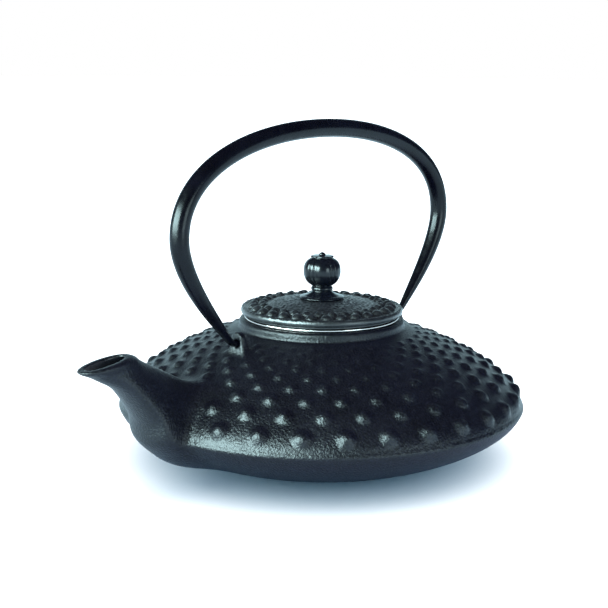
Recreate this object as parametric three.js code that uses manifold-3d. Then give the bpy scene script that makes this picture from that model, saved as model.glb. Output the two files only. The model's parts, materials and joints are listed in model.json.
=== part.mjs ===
// Cast iron teapot: a hobnailed pot with a bail handle, a knobbed lid and a steel tea infuser.
//
// Millimetres, +Z up. The origin is the centre of the pot's flat base, and the spout points along -X.
// Every piece is a closed solid. Touching pieces keep a gap of FIT_GAP.

import * as THREE from 'three';
import { mergeVertices } from 'three/addons/utils/BufferGeometryUtils.js';
import Module from 'manifold-3d';

const wasm = await Module();
wasm.setup();

// ---------------------------------------------------------------- driving dimensions

const FIT_GAP = 0.3;

// Pot: one casting
const BASE_RADIUS = 46;
const RIDGE_RADIUS = 92.3;       // parting ridge, the widest place
const RIDGE_HEIGHT = 24.6;
const SHOULDER_RADIUS = 91.4;    // the shoulder starts just inside the ridge
const NECK_RADIUS = 36.6;
const NECK_BORE_RADIUS = 33.2;
const NECK_HEIGHT = 62.3;
const WALL = 3.2;
const POT_SEGMENTS = 64;

// Hobnails: staggered rows that shrink towards the neck
const HOBNAILS_PER_ROW = 32;
const HOBNAIL_ROWS = 9;
const FIRST_ROW_RADIUS = 88.2;
const ROW_RATIO = 0.917;         // radius of each row over the one below it
const HOBNAIL_HEIGHT = 2.3;      // in the lowest row

// Spout
const SPOUT_SIDES = 20;
const SPOUT_STEPS = 14;
const SPOUT_ROOT_RADIUS = 72;    // where its upper edge leaves the shoulder
const SPOUT_WALL = 2.4;
const SPOUT_ROOT_HALF_WIDTH = 17;
const SPOUT_MOUTH_HALF_WIDTH = 6.6;
const SPOUT_TAPER = [0.1, 0.95]; // shares of its length between which it narrows

// Handle lugs, and the bail that hooks into them
const LUG_RADIUS = 50.6;         // from the pot's axis to the middle of each lug
const LUG_THICKNESS = 3.6;
const LUG_HALF_WIDTH = 3.5;
const LUG_TOP = 62.8;
const LUG_FLARE = 0.8;           // more half width at the root
const LUG_ROOT = 53;             // height of the root, inside the shoulder's wall
const LUG_HOLE_RADIUS = 1.75;
const HINGE_HEIGHT = 57.8;
const HANDLE_HALF_SPAN = 83;
const HANDLE_TOP = 147.8;        // centreline height at the middle
const HANDLE_WIDEST = 105;       // height at which the bail is widest
const HANDLE_TAPER = [0.6, 0.967]; // shares of each half between which the rod thins
const HANDLE_ROD_RADIUS = 4.1;
const HOOK_RADIUS = 1.3;
const HANDLE_SIDES = 10;
const HANDLE_STEPS = 64;

// Infuser: stainless sheet
const SHEET = 0.6;
const FLANGE_RADIUS = 35.2;
const FLANGE_THICKNESS = 0.8;
const SKIRT_RADIUS = 32.4;
const SKIRT_DEPTH = 9;
const INFUSER_DEPTH = 42;
const BASE_RING_HEIGHT = 4;
const BASE_RING_LIP = 4.5;
const INFUSER_SEGMENTS = 40;

// Lid and knob
const LID_RADIUS = 36.9;
const LID_CROWN = 7.2;           // lid's height at the knob, above its seat
const SPIGOT_RADIUS = 28.2;
const SPIGOT_DEPTH = 4;
const BEADS_PER_RING = 30;
const OUTER_BEAD_RADIUS = 31.5;  // of the ring they stand on
const OUTER_BEAD_HEIGHT = 1.5;
const INNER_BEAD_RADIUS = 27.3;
const INNER_BEAD_HEIGHT = 1.2;
const STEM_RADIUS = 2.5;
const KNOB_FOOT_RADIUS = 10.2;
const MELON_RADIUS = 8.55;
const MELON_HEIGHT = 11.6;
const MELON_LOBES = 5;
const MELON_GROOVE_DEPTH = 0.6;
const KNOB_SEGMENTS = 25;
const WASHER_RADIUS = 6.5;
const WASHER_THICKNESS = 0.8;

// Finishes
const POT_IRON = { color: 0x23272b, roughness: 0.62, metalness: 0.55 };
const LID_IRON = { color: 0x262b2e, roughness: 0.58, metalness: 0.55 };
const FORGED_IRON = { color: 0x131519, roughness: 0.34, metalness: 0.6 };
const STAINLESS = { color: 0xc9cbcd, roughness: 0.22, metalness: 1 };

// ---------------------------------------------------------------- solids and shapes

// A closed three.js geometry as a solid: shared vertices merged, empty triangles dropped, faces out.
function toSolid(geometry) {
  const bare = geometry.clone();
  for (const name of Object.keys(bare.attributes)) {
    if (name !== 'position') bare.deleteAttribute(name);
  }
  const merged = mergeVertices(bare, 1e-4);
  const { position } = merged.attributes;
  const corners = [new THREE.Vector3(), new THREE.Vector3(), new THREE.Vector3()];
  const triangles = [];
  let volume = 0;
  for (let i = 0; i < merged.index.count; i += 3) {
    const [p, q, r] = [0, 1, 2].map((k) => merged.index.getX(i + k));
    if (p === q || q === r || r === p) continue;
    triangles.push(p, q, r);
    [p, q, r].forEach((vertex, k) => corners[k].fromBufferAttribute(position, vertex));
    volume += corners[0].dot(corners[1].cross(corners[2]));
  }
  if (volume < 0) triangles.reverse();
  return new wasm.Manifold(new wasm.Mesh({
    numProp: 3,
    vertProperties: new Float32Array(position.array),
    triVerts: new Uint32Array(triangles),
  }));
}

function toMesh(name, solid, finish) {
  const { vertProperties, triVerts } = solid.getMesh();
  const geometry = new THREE.BufferGeometry();
  geometry.setAttribute('position', new THREE.BufferAttribute(vertProperties, 3));
  geometry.setIndex(new THREE.BufferAttribute(triVerts, 1));
  geometry.computeVertexNormals();
  const mesh = new THREE.Mesh(geometry, new THREE.MeshStandardMaterial(finish));
  mesh.name = name;
  return mesh;
}

const point = (radius, height) => new THREE.Vector2(radius, height);

// Points along a cubic curve in a half-plane, given as [radius, height] pairs.
function arc(start, startPull, endPull, end, steps) {
  const corners = [start, startPull, endPull, end].map(([radius, height]) => point(radius, height));
  return new THREE.CubicBezierCurve(...corners).getPoints(steps);
}

// A profile turned about Z. Where raiseAt is given, it lifts vertices along their normals:
// raiseAt(column, point on the profile) is a height.
function revolve(profile, segments, raiseAt = null) {
  const geometry = new THREE.LatheGeometry(profile, segments);
  if (raiseAt) {
    const { position, normal } = geometry.attributes;
    for (let vertex = 0; vertex < position.count; vertex += 1) {
      const column = Math.floor(vertex / profile.length) % segments;
      const height = raiseAt(column, profile[vertex % profile.length]);
      position.setXYZ(
        vertex,
        position.getX(vertex) + height * normal.getX(vertex),
        position.getY(vertex) + height * normal.getY(vertex),
        position.getZ(vertex) + height * normal.getZ(vertex),
      );
    }
  }
  return toSolid(geometry.rotateX(Math.PI / 2));
}

// A ring whose section is the rectangle between two radii and two heights.
function ring(innerRadius, outerRadius, bottom, top, segments) {
  const section = [
    point(innerRadius, bottom), point(outerRadius, bottom), point(outerRadius, top),
    point(innerRadius, top), point(innerRadius, bottom),
  ];
  return revolve(section, segments);
}

// A capped bar whose cross-sections are placed one by one. placeAt(share of the length) gives the
// section's centre and its two half-axis vectors.
function loft(sides, steps, placeAt) {
  const geometry = new THREE.CylinderGeometry(1, 1, 1, sides, steps);
  const { position } = geometry.attributes;
  for (let vertex = 0; vertex < position.count; vertex += 1) {
    const { centre, first, second } = placeAt(position.getY(vertex) + 0.5);
    const moved = centre.clone()
      .addScaledVector(first, position.getX(vertex))
      .addScaledVector(second, position.getZ(vertex));
    position.setXYZ(vertex, moved.x, moved.y, moved.z);
  }
  return toSolid(geometry);
}

const mirrorX = (solid) => solid.mirror([1, 0, 0]);

// ---------------------------------------------------------------- pot

const SHOULDER_CURVE = new THREE.CubicBezierCurve(
  point(SHOULDER_RADIUS, RIDGE_HEIGHT + 1.5),
  point(SHOULDER_RADIUS - 1.9, 34),
  point(66, 50),
  point(NECK_RADIUS + 4.4, 58.6),
);

// The shoulder's point at a radius: the curve runs steadily inwards, so halving finds it.
function shoulderAt(radius) {
  let [low, high] = [0, 1];
  while (high - low > 1e-6) {
    const middle = (low + high) / 2;
    if (SHOULDER_CURVE.getPoint(middle).x > radius) low = middle;
    else high = middle;
  }
  return SHOULDER_CURVE.getPoint(low);
}

const rowRadius = (row) => FIRST_ROW_RADIUS * ROW_RATIO ** row;

// Row centres at whole steps, and the valleys between rows at half steps.
function shoulderProfile() {
  const steps = Array.from({ length: 2 * HOBNAIL_ROWS }, (_, k) => k / 2);
  return [
    SHOULDER_CURVE.getPoint(0),
    ...steps.map((row) => shoulderAt(rowRadius(row))),
    SHOULDER_CURVE.getPoint(1),
  ];
}

// One raised vertex is a hobnail. None stand in the spout's root or beside the lugs.
function hobnailHeight(column, { x: radius, y: height }) {
  const row = Math.log(radius / FIRST_ROW_RADIUS) / Math.log(ROW_RATIO);
  const onRow = Math.abs(row - Math.round(row)) < 1e-3 && row > -0.5 && row < HOBNAIL_ROWS - 0.5;
  if (!onRow || height < RIDGE_HEIGHT) return 0;
  const columnsPerHobnail = POT_SEGMENTS / HOBNAILS_PER_ROW;
  const staggered = (column + Math.round(row)) % columnsPerHobnail === 1;
  const fromSpout = Math.abs(column - POT_SEGMENTS / 4);
  const fromLug = Math.min(fromSpout, Math.abs(fromSpout - POT_SEGMENTS / 2));
  const besideLug = fromLug <= 1 && radius < LUG_RADIUS + 5;
  const inSpout = fromSpout <= 1 && radius > SPOUT_ROOT_RADIUS;
  return staggered && !besideLug && !inSpout ? HOBNAIL_HEIGHT * (radius / FIRST_ROW_RADIUS) : 0;
}

function potOutside() {
  const profile = [
    point(0, 0),
    ...arc([BASE_RADIUS, 0], [68, 5.5], [88, 14], [RIDGE_RADIUS - 0.3, RIDGE_HEIGHT - 0.8], 7),
    point(RIDGE_RADIUS, RIDGE_HEIGHT),
    point(RIDGE_RADIUS - 0.4, RIDGE_HEIGHT + 0.6),
    ...shoulderProfile(),
    point(NECK_RADIUS + 1.8, 59.4),
    point(NECK_RADIUS + 0.4, 60.6),
    point(NECK_RADIUS, NECK_HEIGHT),
    point(0, NECK_HEIGHT),
  ];
  return revolve(profile, POT_SEGMENTS, hobnailHeight);
}

function potInside() {
  const profile = [
    point(0, WALL),
    ...arc([BASE_RADIUS - 4, WALL], [67, 9.5], [84, 17], [RIDGE_RADIUS - WALL - 0.6, RIDGE_HEIGHT], 6),
    ...arc([RIDGE_RADIUS - WALL - 1, RIDGE_HEIGHT + 2], [86, 32], [64, 46.6], [39, 55], 6),
    point(NECK_BORE_RADIUS + 1.2, 57),
    point(NECK_BORE_RADIUS, 59.5),
    point(NECK_BORE_RADIUS, NECK_HEIGHT + 1),
    point(0, NECK_HEIGHT + 1),
  ];
  return revolve(profile, POT_SEGMENTS / 2);
}

// The spout is set by two lines in the plane y = 0: its underside, and its upper edge.
const across = (x, z) => new THREE.Vector3(x, 0, z);
const SPOUT_UNDERSIDE = new THREE.CatmullRomCurve3([
  across(-56, 12), across(-84, 11.8), across(-103.4, 22.6), across(-106.8, 34),
  across(-114.6, 47.5), across(-125, 54.3), across(-133, 58.8),
]);
const SPOUT_UPPER_EDGE = new THREE.CatmullRomCurve3([
  across(-56, 34), across(-72, 42.2), across(-82, 47.2), across(-90.5, 51.8),
  across(-100, 57), across(-105.6, 60.2), across(-109.4, 62.5),
]);

// Sections run from the underside to the upper edge. inset thins them on every side, for the channel.
function spout(inset, start, end) {
  const runPastMouth = 40;
  return loft(SPOUT_SIDES, SPOUT_STEPS, (share) => {
    const along = THREE.MathUtils.lerp(start, end, share);
    const clamped = Math.min(along, 1);
    const low = SPOUT_UNDERSIDE.getPoint(clamped);
    const high = SPOUT_UPPER_EDGE.getPoint(clamped);
    const halfDepth = high.clone().sub(low).multiplyScalar(0.5);
    const centre = low.clone().add(halfDepth);
    const pastMouth = SPOUT_UNDERSIDE.getTangent(1).add(SPOUT_UPPER_EDGE.getTangent(1));
    centre.addScaledVector(pastMouth, (along - clamped) * runPastMouth);
    halfDepth.setLength(halfDepth.length() - inset);
    const narrowing = THREE.MathUtils.smoothstep(clamped, ...SPOUT_TAPER);
    const halfWidth = THREE.MathUtils.lerp(SPOUT_ROOT_HALF_WIDTH, SPOUT_MOUTH_HALF_WIDTH, narrowing);
    return { centre, first: halfDepth, second: new THREE.Vector3(0, halfWidth - inset, 0) };
  });
}

// An arch that stands on the shoulder, square to the handle's axis.
function lug() {
  const outline = new THREE.Shape();
  outline.moveTo(-LUG_HALF_WIDTH - LUG_FLARE, LUG_ROOT);
  outline.lineTo(LUG_HALF_WIDTH + LUG_FLARE, LUG_ROOT);
  outline.lineTo(LUG_HALF_WIDTH, LUG_TOP - LUG_HALF_WIDTH);
  outline.absarc(0, LUG_TOP - LUG_HALF_WIDTH, LUG_HALF_WIDTH, 0, Math.PI);
  const plate = new THREE.ExtrudeGeometry(outline, {
    depth: LUG_THICKNESS, bevelEnabled: false, curveSegments: 10,
  });
  plate.translate(0, 0, LUG_RADIUS - LUG_THICKNESS / 2);
  return toSolid(plate.rotateX(Math.PI / 2).rotateZ(Math.PI / 2));
}

function lugHole() {
  const drill = new THREE.CylinderGeometry(LUG_HOLE_RADIUS, LUG_HOLE_RADIUS, LUG_THICKNESS + 2, 16);
  return toSolid(drill.rotateZ(Math.PI / 2).translate(LUG_RADIUS, 0, HINGE_HEIGHT));
}

function potBody() {
  const channelStart = 0.02;
  const pastMouth = 1.06;
  return potOutside()
    .add(spout(0, 0, 1))
    .add(lug())
    .add(mirrorX(lug()))
    .subtract(potInside())
    .subtract(spout(SPOUT_WALL, channelStart, pastMouth))
    .subtract(lugHole())
    .subtract(mirrorX(lugHole()));
}

// ---------------------------------------------------------------- handle

// One half of the bail, from its middle down to the hooked tip, with Z measured from the hinge.
function bailCentreline() {
  const half = new THREE.CurvePath();
  const top = HANDLE_TOP - HINGE_HEIGHT;
  const widest = HANDLE_WIDEST - HINGE_HEIGHT;
  const bezier = (...corners) => half.add(new THREE.CubicBezierCurve3(...corners));
  bezier(
    across(0, top), across(45, top),
    across(HANDLE_HALF_SPAN, widest + 28), across(HANDLE_HALF_SPAN, widest),
  );
  bezier(
    across(HANDLE_HALF_SPAN, widest), across(HANDLE_HALF_SPAN, widest - 15),
    across(66, 13.7), across(57.5, 3.4),
  );
  const hookStart = LUG_RADIUS + 2.4;
  const hookTip = LUG_RADIUS - 3.2;
  bezier(across(57.5, 3.4), across(55.6, 1), across(54.6, 0), across(hookStart, 0));
  half.add(new THREE.LineCurve3(across(hookStart, 0), across(hookTip, 0)));
  return half;
}

// Full rod over the arch, tapering down each leg to the hook.
function rodRadius(share) {
  const taper = THREE.MathUtils.clamp(THREE.MathUtils.inverseLerp(...HANDLE_TAPER, share), 0, 1);
  return THREE.MathUtils.lerp(HANDLE_ROD_RADIUS, HOOK_RADIUS, taper ** 1.9);
}

function handle() {
  const half = bailCentreline();
  const sideways = new THREE.Vector3(0, 1, 0);
  return loft(HANDLE_SIDES, HANDLE_STEPS, (share) => {
    const fromMiddle = Math.abs(2 * share - 1);
    const side = share < 0.5 ? -1 : 1;
    const centre = half.getPointAt(fromMiddle);
    const tangent = half.getTangentAt(fromMiddle);
    centre.x *= side;
    tangent.set(tangent.x, 0, tangent.z * side);
    const radius = rodRadius(fromMiddle);
    const outward = tangent.cross(sideways).normalize();
    return {
      centre,
      first: outward.multiplyScalar(radius),
      second: sideways.clone().multiplyScalar(radius),
    };
  });
}

// ---------------------------------------------------------------- infuser
// Heights here are measured from the underside of the flange.

const WALL_OUTSIDE = SKIRT_RADIUS - SHEET - FIT_GAP;

function infuserCollar() {
  const section = [
    point(SKIRT_RADIUS - SHEET, -SKIRT_DEPTH),
    point(SKIRT_RADIUS, -SKIRT_DEPTH),
    point(SKIRT_RADIUS, 0),
    point(FLANGE_RADIUS, 0),
    point(FLANGE_RADIUS, FLANGE_THICKNESS),
    point(SKIRT_RADIUS - SHEET, FLANGE_THICKNESS),
    point(SKIRT_RADIUS - SHEET, -SKIRT_DEPTH),
  ];
  return revolve(section, INFUSER_SEGMENTS);
}

function infuserWall() {
  const bottom = -INFUSER_DEPTH + SHEET + FIT_GAP;
  return ring(WALL_OUTSIDE - SHEET, WALL_OUTSIDE, bottom, -1, INFUSER_SEGMENTS);
}

function infuserBaseRing() {
  const inside = WALL_OUTSIDE + FIT_GAP;
  const bottom = -INFUSER_DEPTH;
  const section = [
    point(inside - BASE_RING_LIP, bottom),
    point(inside + SHEET, bottom),
    point(inside + SHEET, bottom + BASE_RING_HEIGHT),
    point(inside, bottom + BASE_RING_HEIGHT),
    point(inside, bottom + SHEET),
    point(inside - BASE_RING_LIP, bottom + SHEET),
    point(inside - BASE_RING_LIP, bottom),
  ];
  return revolve(section, INFUSER_SEGMENTS);
}

function infuserFloor() {
  const radius = WALL_OUTSIDE - SHEET - FIT_GAP;
  const disc = new THREE.CylinderGeometry(radius, radius, SHEET, INFUSER_SEGMENTS);
  const middle = -INFUSER_DEPTH + SHEET + FIT_GAP + SHEET / 2;
  return toSolid(disc.rotateX(Math.PI / 2).translate(0, 0, middle));
}

// ---------------------------------------------------------------- lid
// Heights here are measured from the lid's seat on the flange.

const LID_UNDERSIDE = LID_CROWN - 3.6;
const MELON_FOOT = LID_CROWN + 6;
const STEM_HOLE_RADIUS = STEM_RADIUS + FIT_GAP;

// Beads sit on alternate columns, the two rings half a pitch apart.
function beadHeight(column, { x: radius, y: height }) {
  if (height < LID_UNDERSIDE) return 0;
  if (radius === OUTER_BEAD_RADIUS) return column % 2 === 0 ? OUTER_BEAD_HEIGHT : 0;
  if (radius === INNER_BEAD_RADIUS) return column % 2 === 1 ? INNER_BEAD_HEIGHT : 0;
  return 0;
}

function lid() {
  const seatEdge = FLANGE_RADIUS - 0.6;
  const profile = [
    point(STEM_HOLE_RADIUS, LID_UNDERSIDE),
    point(WASHER_RADIUS + 1.5, LID_UNDERSIDE),
    point(SPIGOT_RADIUS - 3.2, 0.9),
    point(SPIGOT_RADIUS - 3.2, -SPIGOT_DEPTH),
    point(SPIGOT_RADIUS, -SPIGOT_DEPTH),
    point(SPIGOT_RADIUS, 0),
    point(seatEdge, 0),
    point(seatEdge, 0.9),
    point(LID_RADIUS - 0.7, 0.9),
    point(LID_RADIUS, 1.6),
    point(LID_RADIUS, 2.9),
    point(LID_RADIUS - 0.7, 3.6),
    point(LID_RADIUS - 3.2, 3.8),
    point(OUTER_BEAD_RADIUS, 4),
    point((OUTER_BEAD_RADIUS + INNER_BEAD_RADIUS) / 2, 4.3),
    point(INNER_BEAD_RADIUS, 4.6),
    point(INNER_BEAD_RADIUS - 2.2, 5),
    point(18, 6.2),
    point(10, LID_CROWN - 0.3),
    point(STEM_HOLE_RADIUS, LID_CROWN),
    point(STEM_HOLE_RADIUS, LID_UNDERSIDE),
  ];
  return revolve(profile, 2 * BEADS_PER_RING, beadHeight);
}

// Grooves between the melon's lobes.
function melonGroove(column, { x: radius, y: height }) {
  const onMelon = radius > STEM_RADIUS * 2 && height > MELON_FOOT && height < MELON_FOOT + MELON_HEIGHT;
  const columnsPerLobe = KNOB_SEGMENTS / MELON_LOBES;
  return onMelon && column % columnsPerLobe === 0 ? -MELON_GROOVE_DEPTH : 0;
}

function lidKnob() {
  const foot = LID_CROWN + FIT_GAP;
  const melonMiddle = LID_CROWN + 12.8;
  const headTop = LID_UNDERSIDE - WASHER_THICKNESS - 2 * FIT_GAP;
  const profile = [
    point(0, headTop - 1.3),
    point(3.4, headTop - 1.3),
    point(4.4, headTop - 0.6),
    point(4.4, headTop),
    point(STEM_RADIUS, headTop),
    point(STEM_RADIUS, foot),
    point(KNOB_FOOT_RADIUS - 0.4, foot),
    point(KNOB_FOOT_RADIUS, foot + 0.5),
    ...arc([KNOB_FOOT_RADIUS - 0.4, foot + 1], [7, foot + 1.4], [5, foot + 2], [4.3, foot + 3.2], 4),
    point(4.8, foot + 4),
    point(4.8, foot + 4.6),
    point(4.4, foot + 5.2),
    ...arc([5.3, melonMiddle - 6.8], [7.4, melonMiddle - 5.4], [MELON_RADIUS, melonMiddle - 3],
      [MELON_RADIUS, melonMiddle], 4),
    ...arc([8.4, melonMiddle + 1.4], [8.1, melonMiddle + 3.4], [7, melonMiddle + 5],
      [5.4, melonMiddle + 5.6], 3),
    point(4.9, melonMiddle + 6),
    point(4.9, melonMiddle + 6.9),
    point(1.3, melonMiddle + 7.1),
    point(1.1, melonMiddle + 8.2),
    point(0, melonMiddle + 8.5),
  ];
  return revolve(profile, KNOB_SEGMENTS, melonGroove);
}

function knobWasher() {
  const top = LID_UNDERSIDE - FIT_GAP;
  return ring(STEM_HOLE_RADIUS, WASHER_RADIUS, top - WASHER_THICKNESS, top, KNOB_SEGMENTS);
}

// ---------------------------------------------------------------- assembly

const teapot = new THREE.Group();
teapot.add(toMesh('pot_body', potBody(), POT_IRON));

const bail = toMesh('handle', handle(), FORGED_IRON);
bail.position.z = HINGE_HEIGHT;
teapot.add(bail);

const infuser = new THREE.Group();
infuser.position.z = NECK_HEIGHT + FIT_GAP;
infuser.add(
  toMesh('infuser_collar', infuserCollar(), STAINLESS),
  toMesh('infuser_wall', infuserWall(), STAINLESS),
  toMesh('infuser_base_ring', infuserBaseRing(), STAINLESS),
  toMesh('infuser_floor', infuserFloor(), STAINLESS),
);
teapot.add(infuser);

const cover = new THREE.Group();
cover.position.z = infuser.position.z + FLANGE_THICKNESS + FIT_GAP;
cover.add(
  toMesh('lid', lid(), LID_IRON),
  toMesh('lid_knob', lidKnob(), LID_IRON),
  toMesh('knob_washer', knobWasher(), STAINLESS),
);
teapot.add(cover);

export default teapot;
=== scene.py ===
import json
import math

import bmesh
import bpy
import numpy as np
from mathutils import Matrix, Vector
from mathutils.geometry import delaunay_2d_cdt


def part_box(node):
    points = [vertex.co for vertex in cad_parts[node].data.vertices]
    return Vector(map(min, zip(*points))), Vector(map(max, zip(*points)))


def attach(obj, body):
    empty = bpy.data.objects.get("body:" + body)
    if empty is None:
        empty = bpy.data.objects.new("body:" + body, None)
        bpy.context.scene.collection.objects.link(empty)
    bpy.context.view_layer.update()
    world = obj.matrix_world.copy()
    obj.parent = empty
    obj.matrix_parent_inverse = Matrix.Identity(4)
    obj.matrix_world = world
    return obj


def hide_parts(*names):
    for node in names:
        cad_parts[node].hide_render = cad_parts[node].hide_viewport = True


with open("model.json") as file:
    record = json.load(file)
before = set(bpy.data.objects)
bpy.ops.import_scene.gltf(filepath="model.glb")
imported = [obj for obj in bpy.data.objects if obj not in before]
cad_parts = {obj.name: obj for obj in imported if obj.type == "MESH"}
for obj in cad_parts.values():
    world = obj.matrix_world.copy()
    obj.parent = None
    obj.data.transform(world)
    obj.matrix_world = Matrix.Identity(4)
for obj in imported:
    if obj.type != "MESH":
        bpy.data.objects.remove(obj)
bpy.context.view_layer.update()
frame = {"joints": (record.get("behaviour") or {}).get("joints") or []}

# Cast iron teapot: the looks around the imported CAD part.
#
# Shapes are worked out in millimetres in the part's own frame: the origin is the centre of the
# pot's flat base, +Z is up and the spout points along -X. Meshes are made in metres.

MM = 0.001
TURN = 2 * math.pi


def box_mm(node):
    low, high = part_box(node)
    return np.array(low) / MM, np.array(high) / MM


POT_LOW, POT_HIGH = box_mm("pot_body")
RIDGE_RADIUS = POT_HIGH[1]
LUG_TOP = POT_HIGH[2]
COLLAR_LOW, COLLAR_HIGH = box_mm("infuser_collar")
HANDLE_HIGH = box_mm("handle")[1]
LID_RADIUS = box_mm("lid")[1][0]
KNOB_FOOT_RADIUS = box_mm("lid_knob")[1][0]
HINGE_HEIGHT = next(j["pos_m"][2] for j in frame["joints"] if j["name"] == "handle_swing") / MM

# ---- curves and meshes


def bezier(start, start_pull, end_pull, end, steps):
    t = np.linspace(0, 1, steps + 1)[:, None]
    start, start_pull, end_pull, end = (np.array(p, float) for p in (start, start_pull, end_pull, end))
    s = 1 - t
    return s**3 * start + 3 * s * s * t * start_pull + 3 * s * t * t * end_pull + t**3 * end


def spline(points, share):
    """A smooth curve through points at shares of 0 to 1, straight beyond both ends."""
    points = np.array(points, float)
    ends = [2 * points[0] - points[1], 2 * points[-1] - points[-2]]
    padded = np.vstack([ends[0], points, ends[1]])
    spans = len(points) - 1
    place = np.asarray(share, float) * spans
    first = np.clip(np.floor(place), 0, spans - 1).astype(int)
    t = np.clip(place - first, 0, 1)[..., None]
    p0, p1, p2, p3 = (padded[first + k] for k in range(4))
    inside = 0.5 * (
        2 * p1 + (p2 - p0) * t + (2 * p0 - 5 * p1 + 4 * p2 - p3) * t**2
        + (3 * p1 - p0 - 3 * p2 + p3) * t**3
    )
    beyond = (place - first - t[..., 0])[..., None]
    slope = np.where(beyond < 0, (p2 - p0) / 2, (p3 - p1) / 2)
    return inside + beyond * slope


def smoothstep(value, low, high):
    t = np.clip((value - low) / (high - low), 0, 1)
    return t * t * (3 - 2 * t)


def arc_lengths(line):
    """How far along a line each of its points lies."""
    return np.concatenate([[0], np.cumsum(np.linalg.norm(np.diff(line, axis=0), axis=1))])


def rounded(corners, closed=True):
    """An outline through (radius, height, cut) corners, each rounded off from its cut distance.
    A long edge gets a point just past the cut, which keeps its shading flat."""
    steps = 5
    most = 0.49  # of an edge, so that the cuts at its ends never meet
    outline = []
    count = len(corners)
    for k, (radius, height, cut) in enumerate(corners):
        here = np.array([radius, height], float)
        if cut == 0 or (not closed and k in (0, count - 1)):
            outline.append(here)
            continue
        before = np.array(corners[k - 1][:2], float) - here
        after = np.array(corners[(k + 1) % count][:2], float) - here
        before_length, after_length = np.linalg.norm(before), np.linalg.norm(after)
        start = here + before * min(cut / before_length, most)
        end = here + after * min(cut / after_length, most)
        if before_length > 3 * cut:
            outline.append(here + before * (1.5 * cut / before_length))
        for t in np.linspace(0, 1, steps + 1):
            outline.append((1 - t) ** 2 * start + 2 * t * (1 - t) * here + t * t * end)
        if after_length > 3 * cut:
            outline.append(here + after * (1.5 * cut / after_length))
    if closed:
        outline.append(outline[0])
    return np.array(outline)


def mesh_piece(name, points, faces, body, slot, replaced, *materials):
    """A piece of the teapot from points in millimetres, riding on a CAD body in place of its nodes."""
    mesh = bpy.data.meshes.new(name)
    mesh.from_pydata((np.asarray(points) * MM).tolist(), [], [list(face) for face in faces])
    weld = bmesh.new()
    weld.from_mesh(mesh)
    bmesh.ops.remove_doubles(weld, verts=weld.verts, dist=1e-7)
    bmesh.ops.dissolve_degenerate(weld, edges=weld.edges, dist=1e-8)
    bmesh.ops.recalc_face_normals(weld, faces=weld.faces)
    weld.to_mesh(mesh)
    weld.free()
    mesh.shade_smooth()
    for material in materials:
        mesh.materials.append(material)
    piece = bpy.data.objects.new(name, mesh)
    bpy.context.scene.collection.objects.link(piece)
    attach(piece, body)
    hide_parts(*replaced)
    return piece


def grid_faces(rows, columns):
    """Quads between the rows of a grid whose last column meets its first."""
    row, column = np.indices((rows - 1, columns))
    following = (column + 1) % columns
    corners = [row * columns + column, row * columns + following,
               (row + 1) * columns + following, (row + 1) * columns + column]
    return np.stack(corners, -1).reshape(-1, 4)


def lathe(outline, columns, shift=None):
    """An outline of (radius, height) rows turned about Z. shift(angle, radius, height) gives
    changes to the radius and height over the whole grid."""
    angle = np.arange(columns) * TURN / columns
    radius = np.repeat(outline[:, :1], columns, 1)
    height = np.repeat(outline[:, 1:], columns, 1)
    if shift is not None:
        more_radius, more_height = shift(angle[None, :], radius, height)
        radius, height = radius + more_radius, height + more_height
    points = np.stack([radius * np.cos(angle), radius * np.sin(angle), height], -1)
    return points.reshape(-1, 3), grid_faces(len(outline), columns)


def sweep(centres, radii, sides):
    """A round bar along centres in the plane y = 0, closed where its radius is 0."""
    tangent = np.gradient(centres, axis=0)
    tangent /= np.linalg.norm(tangent, axis=1)[:, None]
    sideways = np.array([0.0, 1.0, 0.0])
    outward = np.cross(tangent, sideways)
    angle = np.arange(sides) * TURN / sides
    offsets = (np.cos(angle)[None, :, None] * outward[:, None, :]
               + np.sin(angle)[None, :, None] * sideways)
    points = centres[:, None, :] + radii[:, None, None] * offsets
    return points.reshape(-1, 3), grid_faces(len(centres), sides)


# ---- the pot's field
# The pot is the zero surface of a field that is close to a signed distance, negative in the iron.

WALL = 3.2
BASE_RADIUS = 46
RIDGE_HEIGHT = 24.6
SHOULDER_RADIUS = RIDGE_RADIUS - 0.9
SHOULDER_TOP = 57.6
NECK_RADIUS = 37.7
NECK_BORE_RADIUS = 33.2
NECK_HEIGHT = COLLAR_HIGH[2] - 1.1

HOBNAILS_PER_ROW = 32
HOBNAIL_ROWS = 9
FIRST_ROW_RADIUS = 88.2
ROW_RATIO = 0.917
HOBNAIL_HEIGHT = 2.3  # in the first row, like the radius
HOBNAIL_RADIUS = 4.7
SIZE_POWER = 1.25  # hobnails shrink faster than their row's radius
HEIGHT_POWER = 1.5  # and their height faster than their radius
HOBNAIL_PEAK = 1.8  # 1 is a paraboloid, more is more pointed
SPOUT_CLEARANCE = 3.2
LUG_CLEARANCE = 1.6

# The spout's shares run from 0 at its root to 1 at its mouth.
SPOUT_WALL = 2.6
SPOUT_LIP = 3.2
SPOUT_ROOT_HALF_WIDTH = 14.8
SPOUT_MOUTH_HALF_WIDTH = 6.6
SPOUT_TAPER = (0.1, 0.95)
SPOUT_ROOT_X = -58  # where its solid ends inside the pot
CHANNEL_ROOT_X = -62
SPOUT_MIDDLE_X = -90  # points off every section count as past the mouth beyond it
SPOUT_FILLET, UNDER_FILLET, UPPER_FILLET = 3, 9, 10  # at the ridge, under it, up the shoulder
CREASE_STARTS = (0.12, 0.3)
CREASE_ENDS = (0.62, 0.97)
CREASE_LEVEL = -0.66  # -1 is the underside, 1 the upper edge
CREASE_CLIMB = 0.16
LIP_START = 0.8
LIP_BEAD = 0.7
LIP_BEAD_INSET = 1.5
LIP_BEAD_WIDTH = 1.7
MOUTH_EDGE = 1.4
SECTION_ROUNDING = 0.03  # of the section's half axes
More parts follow.
